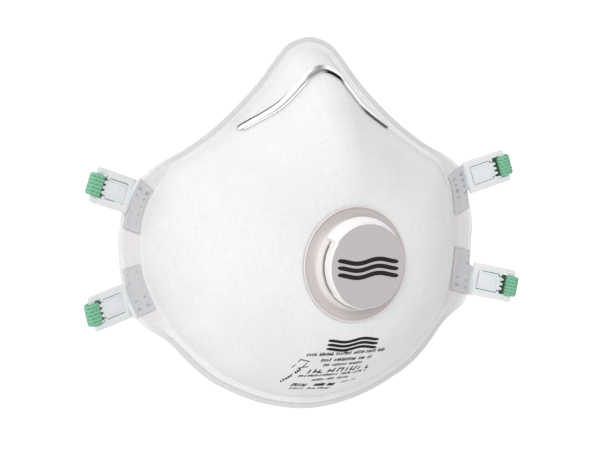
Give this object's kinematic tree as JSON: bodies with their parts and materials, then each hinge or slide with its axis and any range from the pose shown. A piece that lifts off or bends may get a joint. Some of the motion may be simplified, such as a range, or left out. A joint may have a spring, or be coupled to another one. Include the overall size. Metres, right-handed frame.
{
  "type": "disposable dust mask",
  "caption": "Moulded white cup dust mask with a round exhalation valve, aluminium nose strip, soft face seal, buckle clips and green ribbed elastic straps.",
  "frame": {"origin": "middle of the mask in plan, on the plane that the face seal rests on", "axes": "+X to the wearer's-view right across the cheeks, +Y towards the nose, +Z out of the front"},
  "size_m": [0.171, 0.1306, 0.0494],
  "materials": {
    "cover_web": "matt moulded nonwoven",
    "filter_web": "matt nonwoven",
    "support_web": "stiff matt nonwoven",
    "lining_web": "soft matt nonwoven",
    "seal_web": "soft matt foam film",
    "nose_foam": "open-cell foam",
    "nose_metal": "satin rolled",
    "valve_plastic": "satin",
    "cap_plastic": "satin",
    "flap_silicone": "smooth",
    "clip_plastic": "translucent satin",
    "tongue_plastic": "translucent satin",
    "strap_elastic": "ribbed knitted elastic",
    "ink": "printed ink"
  },
  "bodies": {
    "mask": {"outer_cover": "cover_web", "filter_layer": "filter_web", "support_shell": "support_web", "inner_lining": "lining_web", "face_seal": "seal_web", "nose_pad": "nose_foam", "nose_strip": "nose_metal", "valve_body": "valve_plastic", "flap_clamp": "valve_plastic", "valve_cap": "cap_plastic", "valve_inner_ring": "valve_plastic", "clip_upper_right": "clip_plastic", "clip_upper_left": "clip_plastic", "clip_lower_right": "clip_plastic", "clip_lower_left": "clip_plastic", "strap_upper": "strap_elastic", "strap_lower": "strap_elastic"},
    "flap": {"valve_flap": "flap_silicone"},
    "lock_upper_right": {"tongue_upper_right": "tongue_plastic"},
    "lock_upper_left": {"tongue_upper_left": "tongue_plastic"},
    "lock_lower_right": {"tongue_lower_right": "tongue_plastic"},
    "lock_lower_left": {"tongue_lower_left": "tongue_plastic"}
  },
  "joints": [
    {"name": "flap_hinge", "type": "hinge", "parent": "mask", "child": "flap", "pos_m": [0, -0.0028, 0.04305], "axis": [-1, 0, 0], "range_deg": [0, 12], "stiffness_Nm_per_rad": 0.0004},
    {"name": "lock_upper_right_hinge", "type": "hinge", "parent": "mask", "child": "lock_upper_right", "pos_m": [0.06779, 0.01445, 0.0061], "axis": [0.314, -0.9494, 0], "range_deg": [0, 25], "stiffness_Nm_per_rad": 0.0002},
    {"name": "lock_upper_left_hinge", "type": "hinge", "parent": "mask", "child": "lock_upper_left", "pos_m": [-0.06859, 0.01245, 0.0057], "axis": [0.314, 0.9494, 0], "range_deg": [0, 25], "stiffness_Nm_per_rad": 0.0002},
    {"name": "lock_lower_right_hinge", "type": "hinge", "parent": "mask", "child": "lock_lower_right", "pos_m": [0.07018, -0.02374, 0.00659], "axis": [-0.2266, -0.974, 0], "range_deg": [0, 25], "stiffness_Nm_per_rad": 0.0002},
    {"name": "lock_lower_left_hinge", "type": "hinge", "parent": "mask", "child": "lock_lower_left", "pos_m": [-0.07018, -0.02374, 0.00659], "axis": [-0.2266, 0.974, 0], "range_deg": [0, 25], "stiffness_Nm_per_rad": 0.0002}
  ]
}
